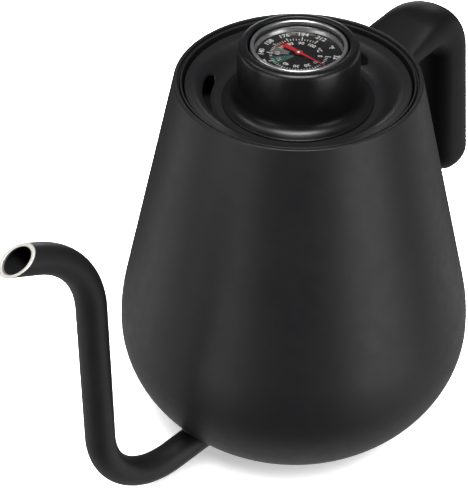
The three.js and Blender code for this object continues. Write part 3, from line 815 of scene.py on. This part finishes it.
def lid_dish():
    """The lid's dished top with its rolled edge, skirt and three curved steam slots."""
    edge = rounded([
        (42.6, SHELF_Z + 0.12),
        (43.6, SHELF_Z + 0.3, 0.8),
        (44.4, SHELF_Z + 0.3, 0.28),
        (44.4, SHELF_Z - 0.5, 0.3),
        (LID_SKIRT_R, SHELF_Z - 0.9, 0.3),
        (LID_SKIRT_R, LID_SKIRT_Z, 0.3),
        (LID_SKIRT_R - LID_WALL, LID_SKIRT_Z, 0.3),
        (LID_SKIRT_R - LID_WALL, -4.7, 0.6),
        (41.2, -4.55),
    ], closed=False)
    edges = ((0.9, 0), (0.55, 0.0), (0.32, 0.03), (0.16, 0.1), (0.05, 0.2), (0, 0.34))
    inner_share = [i / 7 for i in range(8)]
    outer_share = [i / 8 for i in range(9)]
    hub = [4.4, 5, 8, 12, 16, 20, 24, 27, 30]
    rows, breaks = [], {}
    for degree in range(360):
        opening = slot_opening(degree)
        inner, outer = SLOT_MID - SLOT_HALF * opening, SLOT_MID + SLOT_HALF * opening
        soft = clamp(opening * 3)
        top = [(r, DISH_Z) for r in hub]
        near = [HUB_R + (inner - 0.9 - HUB_R) * s for s in inner_share]
        top += [(r, dish_height(r)) for r in near]
        top += [(inner - d, dish_height(inner - d) - drop * soft) for d, drop in edges[1:]]
        breaks["top"] = len(top) - 1
        top += [(outer + d, dish_height(outer + d) - drop * soft) for d, drop in edges[::-1]]
        far = [outer + 0.9 + (42.0 - outer - 0.9) * s for s in outer_share[1:]]
        top += [(r, dish_height(r)) for r in far]
        profile = top + [tuple(p) for p in edge]
        under = [41.0 + (outer - 41.0) * s for s in outer_share]
        profile += [(r, dish_height(r) - LID_WALL) for r in under]
        breaks["under"] = len(profile) - 1
        below = [inner + (HUB_R - inner) * s for s in inner_share]
        profile += [(r, dish_height(r) - LID_WALL) for r in below]
        profile += [(r, DISH_Z - LID_WALL) for r in hub[::-1]]
        a = math.radians(degree)
        rows.append([(r * math.cos(a), r * math.sin(a), z + RIM_Z) for r, z in profile])
    count = len(rows[0])
    faces = []
    for degree in range(360):
        a, b = degree * count, (degree + 1) % 360 * count
        for i in range(count):
            k = (i + 1) % count
            if i not in breaks.values():
                faces.append((a + i, a + k, b + k, b + i))
        if slot_opening(degree) or slot_opening((degree + 1) % 360):
            for t, u in ((breaks["top"], breaks["under"] + 1), (breaks["top"] + 1, breaks["under"])):
                faces.append((a + t, b + t, b + u, a + u))
    return make_mesh("lid_dish", [p for row in rows for p in row], faces, sharp=50)


def lid_plate():
    """The steel plate under the lid, with a ring of steam holes."""
    edge, low, high = LID_SKIRT_R - LID_WALL - 0.2, LID_SKIRT_Z, LID_SKIRT_Z + 0.9
    outline = rounded([(2.8, low, 0.1), (edge, low, 0.3), (edge, high, 0.2), (2.8, high, 0.1)])
    plate = lathe("lid_plate", outline, lift=RIM_Z)
    count, ring = 9, 0.031
    holes = []
    for i in range(count):
        a = TAU * (i + 0.5) / count
        hole = pin(2.4, -21, -15, 40, RIM_Z)
        hole.data.transform(Matrix.Translation((ring * math.cos(a), ring * math.sin(a), 0)))
        holes.append(hole)
    carve(plate, join("holes", holes))
    return plate


def seal_ring():
    """The two-lipped silicone seal round the lid's skirt."""
    inner, outer, z = LID_SKIRT_R + 0.05, NECK_R - 0.1, LID_SKIRT_Z - 1.4
    return lathe("seal_ring", rounded([
        (inner, z, 0.2),
        (outer - 0.7, z, 0.3),
        (outer, z + 1, 0.4),
        (outer, z + 1.8, 0.3),
        (inner + 0.8, z + 2.8, 0.35),
        (outer, z + 3.8, 0.3),
        (outer, z + 4.6, 0.3),
        (inner + 0.8, z + 5.6, 0.3),
        (inner, z + 6.4, 0.1),
    ]), lift=RIM_Z)


def knob():
    """The hollow knob: a thin flange, a flared foot, a slightly tapering side and the recess in its top."""
    flare, base, top = 4.6, DISH_Z + 0.05, 16.0
    profile = rounded([
        (21.8, base, 0.2),
        (29.8, base, 0.25),
        (30.0, base + 0.75, 0.3),
        (29.0, base + 0.95),
    ], closed=False)
    profile += arc(29.0, base + 0.95 + flare, flare, flare, -math.pi / 2, -math.pi, 16)[1:]
    profile += arc(21.5, top - 2.2, 2.2, 2.2, 0, math.pi / 2, 12)
    profile += arc(20.5, top - 0.7, 0.7, 0.7, math.pi / 2, math.pi, 6)
    recess = [(19.8, 6), (19.8, 2.6, 0.8), (4.4, 2.6, 0.2), (4.4, 0.4), (21.4, 0.4, 0.5)]
    profile += rounded(recess, closed=False)
    return lathe("knob", profile, sides=240, lift=RIM_Z, sharp=40)


# ------------------------------------------------------------------ thermometer


def thermo_case():
    """The case, with the bright chamfer round the dial."""
    return lathe("dial_case", rounded([
        (4.3, 2.9),
        (17.1, 2.9, 0.4),
        (18.1, 3.9, 0.4),
        (18.1, 12.8, 0.1),
        (17.45, 12.8, 0.1),
        (17.45, 12.25, 0.1),
        (16.8, 11.2, 0.04),
        (16.85, 11.12),
        (17.5, 11.12),
        (17.5, 10.3),
        (16.2, 10.3),
        (16.2, 3.8, 0.4),
        (4.3, 3.8),
    ]), lift=RIM_Z)


def thermo_bezel():
    """The crimped ring that holds the glass."""
    return lathe("dial_bezel", rounded([
        (18.25, 9.8),
        (18.8, 9.8, 0.1),
        (19.0, 10.1, 0.1),
        (19.0, 15.7, 0.62),
        (17.75, 15.62, 0.12),
        (17.4, 15.3, 0.06),
        (17.55, 14.95, 0.06),
        (18.25, 14.95),
    ]), sides=240, lift=RIM_Z)


def lens():
    outline = rounded([(0, 13.7), (18.0, 13.7, 0.2), (18.0, 14.8, 0.3), (0, 14.85)], closed=False)
    return lathe("lens", outline, 160, RIM_Z, False)


def dial_plate():
    outline = rounded([(1.2, 10.6), (17.2, 10.6), (17.2, 11.1, 0.1), (1.2, 11.1, 0.1)])
    return lathe("dial_plate", outline, 160, RIM_Z)


def at_angle(radius, degrees):
    return Vector((radius * math.cos(math.radians(degrees)), radius * math.sin(math.radians(degrees))))


def mark(start, end, half_start, half_end):
    """A thin printed stroke between two points of the dial."""
    side = (end - start).normalized().orthogonal()
    right = [start - side * half_start, end - side * half_end]
    left = [end + side * half_end, start + side * half_start]
    return prism("mark", right + left, DIAL_TOP, DIAL_TOP + PRINT_THICK)


def number(text, size, radius, degrees):
    """Printed figures whose tops point away from the dial's middle."""
    curve = bpy.data.curves.new("figures", "FONT")
    curve.body, curve.size, curve.extrude = text, size, PRINT_THICK / 2
    curve.align_x, curve.align_y = "CENTER", "CENTER"
    curve.offset = size * 0.018
    curve.resolution_u = 3
    holder = bpy.data.objects.new("figures", curve)
    bpy.context.scene.collection.objects.link(holder)
    graph = bpy.context.evaluated_depsgraph_get()
    mesh = bpy.data.meshes.new_from_object(holder.evaluated_get(graph))
    bpy.data.objects.remove(holder)
    spot = at_angle(radius, degrees)
    turned = Matrix.Rotation(math.radians(degrees - 90), 4, "Z")
    place = Matrix.Translation((spot.x, spot.y, DIAL_TOP + PRINT_THICK / 2)) @ turned
    mesh.transform(Matrix.Scale(MM, 4) @ place)
    obj = bpy.data.objects.new("figures", mesh)
    bpy.context.scene.collection.objects.link(obj)
    return obj


def dial_scale():
    """The white print: strokes every 2 degrees C, figures every 10, and degrees F outside."""
    marks = []
    for i in range(51):
        angle = DIAL_ZERO - 6 * i
        if i % 5 == 0:
            marks.append(mark(at_angle(10.2, angle), at_angle(12.5, angle), 0.17, 0.2))
        else:
            marks.append(mark(at_angle(10.3, angle), at_angle(11.4, angle), 0.13, 0.15))
    for i in range(11):
        angle = DIAL_ZERO - DIAL_STEP * i
        marks.append(number(str(10 * i), 2.5, 8.2, angle))
        marks.append(number(str(32 + 18 * i), 3.0, 14.5, angle))
    middle = DIAL_ZERO + DIAL_STEP
    marks.append(number("°C", 2.7, 8.4, middle))
    marks.append(number("°F", 2.7, 13.6, middle))
    return join("dial_scale", marks)


def zone(name, start, end, inner, outer, step, share):
    """A hatched zone of the dial: fine rays between two radii, closed by an outer stroke."""
    marks = []
    count = round((end - start) / step)
    half = math.radians(step * share / 2)
    for i in range(count + 1):
        angle = start + (end - start) * i / count
        marks.append(mark(at_angle(inner, angle), at_angle(outer, angle), inner * half, outer * half))
    pieces, rim = 12, outer + 0.12
    for i in range(pieces):
        a, b = (start + (end - start) * k / pieces for k in (i, i + 1))
        marks.append(mark(at_angle(rim, a), at_angle(rim, b), 0.1, 0.1))
    return join(name, marks)


def pointer():
    """The needle with its hub and broad counterweight."""
    hub, waist, tail = 1.55, math.asin(0.5 / 1.55), math.asin(0.75 / 1.55)
    outline = [(13.5, -0.12), (13.5, 0.12)]
    outline += [tuple(p) for p in arc(0, 0, hub, hub, waist, math.pi - tail, 14)]
    outline += [(-7.2, 1.2), (-7.5, 0.9), (-7.5, -0.9), (-7.2, -1.2)]
    outline += [tuple(p) for p in arc(0, 0, hub, hub, math.pi + tail, TAU - waist, 14)]
    blade = prism("blade", outline, POINTER_Z, POINTER_Z + 0.4, bevel=0.09)
    blade.data.transform(Matrix.Rotation(POINTER_HEADING, 4, "Z"))
    carve(blade, pin(0.55, 11, 13.5, 32, RIM_Z))
    blade.name = "needle"
    return blade


def pointer_axle():
    """The axle from the stem's tip up to its domed cap on the needle."""
    return lathe("pointer_axle", rounded([
        (0, -101),
        (0.5, -101, 0.2),
        (0.5, 12.42, 0.05),
        (0.95, 12.42, 0.05),
        (0.95, 12.62, 0.15),
        (0.5, 12.88, 0.2),
        (0, 12.9),
    ], closed=False), 48, RIM_Z, False)


def stem_tube():
    """The closed steel tube that hangs in the water."""
    return lathe("stem", rounded([
        (0, STEM_TIP_Z),
        (2.5, STEM_TIP_Z, 1.2),
        (2.5, 6, 0.15),
        (2.1, 6, 0.1),
        (2.1, STEM_TIP_Z + 1.4, 0.9),
        (0, STEM_TIP_Z + 1.3),
    ], closed=False), 64, RIM_Z, False)


def stem_bush():
    """The threaded bush that clamps the knob, lid and plate together."""
    corners = [(2.65, -17, 0.15), (3.6, -17, 0.2)]
    z = -16.4
    while z < -9.8:
        corners += [(3.98, z), (3.72, z + 0.3)]
        z += 0.6
    corners += [(4.0, -9.6), (4.0, 4.1, 0.2), (6.5, 4.1, 0.2), (6.5, 5.4, 0.3), (2.65, 5.4, 0.2)]
    return lathe("stem_sleeve", rounded(corners), 96, RIM_Z)


def stem_nut():
    """A chamfered hexagon nut."""
    corners = [at_angle(7.5, 60 * i) for i in range(6)]
    nut = prism("hex_nut", corners, RIM_Z - 16, RIM_Z - 12.1)
    lower, upper = [(0, -16), (6.6, -16, 0.3), (7.7, -15.3)], [(7.7, -12.8), (6.6, -12.1, 0.3), (0, -12.1)]
    turned = rounded(lower + upper, closed=False)
    carve(nut, lathe("chamfer", turned, 96, RIM_Z, False), operation="INTERSECT")
    carve(nut, pin(4.15, -18, -10, 64, RIM_Z))
    return nut


# ------------------------------------------------------------------ assembly

finish_piece(body_shell(), "kettle_body", "black_paint", powder_coat, "body_shell")
finish_piece(neck_collar(), "kettle_body", "black_paint", powder_coat, "neck_ring")
finish_piece(base_plate(), "kettle_body", "steel", brushed, "base_cap")
finish_piece(inner_floor(), "kettle_body", "steel", brushed, "body_floor")
finish_piece(spout_tube(), "kettle_body", "black_paint", powder_coat, "spout_tube")
finish_piece(spout_lip(), "kettle_body", "steel", bare_lip)
finish_piece(spout_weld(), "kettle_body", "black_paint", powder_coat)
finish_piece(handle_grip(), "kettle_body", "phenolic", grip_moulding, "handle_grip")
finish_piece(handle_gasket(), "kettle_body", "silicone", rubber, "handle_pad")
finish_piece(handle_screw("screw_inner", SCREW_AT[0]), "kettle_body", "steel", pressed, "handle_screw_inner")
finish_piece(handle_screw("screw_outer", SCREW_AT[1]), "kettle_body", "steel", pressed, "handle_screw_outer")

finish_piece(seal_ring(), "lid_seal", "silicone", rubber, "lid_gasket")

washer = rounded([(4.3, -11.8, 0.1), (9, -11.8, 0.3), (9, -10.8, 0.2), (4.3, -10.8, 0.1)])
finish_piece(lid_dish(), "lid", "black_paint", powder_coat, "lid_pan")
finish_piece(lid_plate(), "lid", "steel", brushed, "lid_underplate")
finish_piece(knob(), "lid", "phenolic", moulding, "knob_shell")
finish_piece(lathe("washer", washer, 96, RIM_Z), "lid", "steel", pressed, "stem_washer")
finish_piece(stem_nut(), "lid", "steel", pressed, "stem_nut")
finish_piece(stem_bush(), "lid", "steel", pressed, "stem_bush")
finish_piece(stem_tube(), "lid", "steel", pressed, "stem_tube")
finish_piece(thermo_case(), "lid", "steel", bright, "thermo_case")
finish_piece(thermo_bezel(), "lid", "steel", bright, "thermo_bezel")
finish_piece(lens(), "lid", "lens_glass", lens_clear, "thermo_lens")
finish_piece(dial_plate(), "lid", "dial_black", dial_face, "thermo_dial")
finish_piece(dial_scale(), "lid", "dial_black", ink_white)
finish_piece(zone("zone_red", 76, 98, 5, 10.6, 4.4, 0.3), "lid", "dial_black", ink_red)
finish_piece(zone("zone_grey", 103, 130, 4, 10.6, 4.5, 0.3), "lid", "dial_black", ink_grey)
finish_piece(zone("zone_green", 145, 170, 2.2, 11.2, 5.0, 0.34), "lid", "dial_black", ink_green)

finish_piece(pointer(), "pointer", "pointer_red", pointer_red, "thermo_pointer")
finish_piece(pointer_axle(), "pointer", "steel", pressed, "pointer_shaft")

KEPT_NODES = {
    "heat_disc": cast_aluminium,
    "handle_strap": pressed,
    "knob_gasket": rubber,
    "bimetal_coil": bimetal,
    "lens_gasket": rubber,
}
for node, finish in KEPT_NODES.items():
    dress(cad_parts[node], finish)

# ------------------------------------------------------------------ studio


def backdrop_floor():
    """A wide pale floor, just under the base, with a faint glow of its own that softens the shadow."""
    half, z = 6.0, -0.0003
    mesh = bpy.data.meshes.new("floor")
    corners = [(-half, -half, z), (half, -half, z), (half, half, z), (-half, half, z)]
    mesh.from_pydata(corners, [], [(0, 1, 2, 3)])
    floor = bpy.data.objects.new("floor", mesh)
    bpy.context.scene.collection.objects.link(floor)
    n = Nodes("pale_floor")
    tone = n.blend(n.noise(120, 2), (0.88, 0.88, 0.88), (0.9, 0.9, 0.9))
    rough = n.spread(n.noise(60), 0.8, 0.9)
    glow = {"Emission_Color": (1, 1, 1, 1), "Emission_Strength": 0.42}
    mesh.materials.append(n.surface(Base_Color=tone, Roughness=rough, Specular_IOR_Level=0.1, **glow))
    return floor


def area_light(name, place, size, power, target=(0, 0, 0.09), tint=(1, 1, 1)):
    light = bpy.data.lights.new(name, "AREA")
    light.shape, light.size, light.size_y = "RECTANGLE", *size
    light.energy, light.color = power, tint
    obj = bpy.data.objects.new(name, light)
    obj.location = place
    obj.rotation_euler = (Vector(target) - Vector(place)).to_track_quat("-Z", "Y").to_euler()
    bpy.context.scene.collection.objects.link(obj)
    return obj


def sided(right, ahead, up):
    """A place in metres, seen from the near corner: to the right, ahead, and up."""
    c = math.sqrt(0.5)
    return (right * c + ahead * c, -right * c + ahead * c, up)


# The floor has a lamp of its own and is left out of the kettle's reflections and bounced light.
# The up-facing table_bounce stands in for the light that a pale table throws back.
floor = backdrop_floor()
floor.visible_glossy = False
floor.visible_diffuse = False
floor.visible_shadow = False

only_floor = bpy.data.collections.new("only_floor")
only_floor.objects.link(floor)
overhead = area_light("floor_light", sided(0.4, -0.2, 2.4), (3.4, 3.4), 420, (0, 0, 0))
overhead.light_linking.receiver_collection = only_floor

on_kettle = [
    area_light("side_left", sided(-0.95, -0.74, 0.1), (0.75, 1.2), 4.2),
    area_light("side_right", sided(0.95, -0.74, 0.1), (0.75, 1.2), 5.8),
    area_light("wing_right", sided(1.05, 0.6, -0.15), (0.8, 0.8), 0.9),
    area_light("wing_left", sided(-1.2, 0.3, -0.15), (0.7, 0.8), 1.3),
    area_light("top_soft", sided(0, -0.3, 1.35), (0.8, 0.5), 13, (0, 0, 0.16)),
    area_light("back_strip", sided(0, 1.3, 0.22), (0.6, 0.2), 2.0, (0, 0, 0.16)),
    area_light("lip_light", sided(-0.75, 0.35, 1.2), (0.3, 0.3), 1.3, (-0.14, 0, 0.15)),
]
table_bounce = area_light("table_bounce", sided(0, 0.07, -0.15), (1.2, 0.45), 0.6)
table_bounce.rotation_euler = (math.pi, 0, -math.pi / 4)
for lamp in (overhead, table_bounce, *on_kettle):
    lamp.visible_camera = False

world = bpy.data.worlds.new("studio")
bpy.context.scene.world = world
world.use_nodes = True
background = world.node_tree.nodes["Background"]
background.inputs["Color"].default_value = (0.9, 0.93, 1.0, 1)
background.inputs["Strength"].default_value = 0.09
bpy.context.scene.view_settings.view_transform = "Standard"

camera_data = bpy.data.cameras.new("camera")
camera_data.lens, camera_data.sensor_width = 158.8, 36
camera_data.clip_start, camera_data.clip_end = 0.05, 30
camera = bpy.data.objects.new("camera", camera_data)
camera.location = (-0.5276, -0.4922, 0.6338)
pitch = math.radians(37.58)
ahead = Vector((math.cos(pitch) * math.sqrt(0.5), math.cos(pitch) * math.sqrt(0.5), -math.sin(pitch)))
camera.rotation_euler = ahead.to_track_quat("-Z", "Y").to_euler()
bpy.context.scene.collection.objects.link(camera)
bpy.context.scene.camera = camera
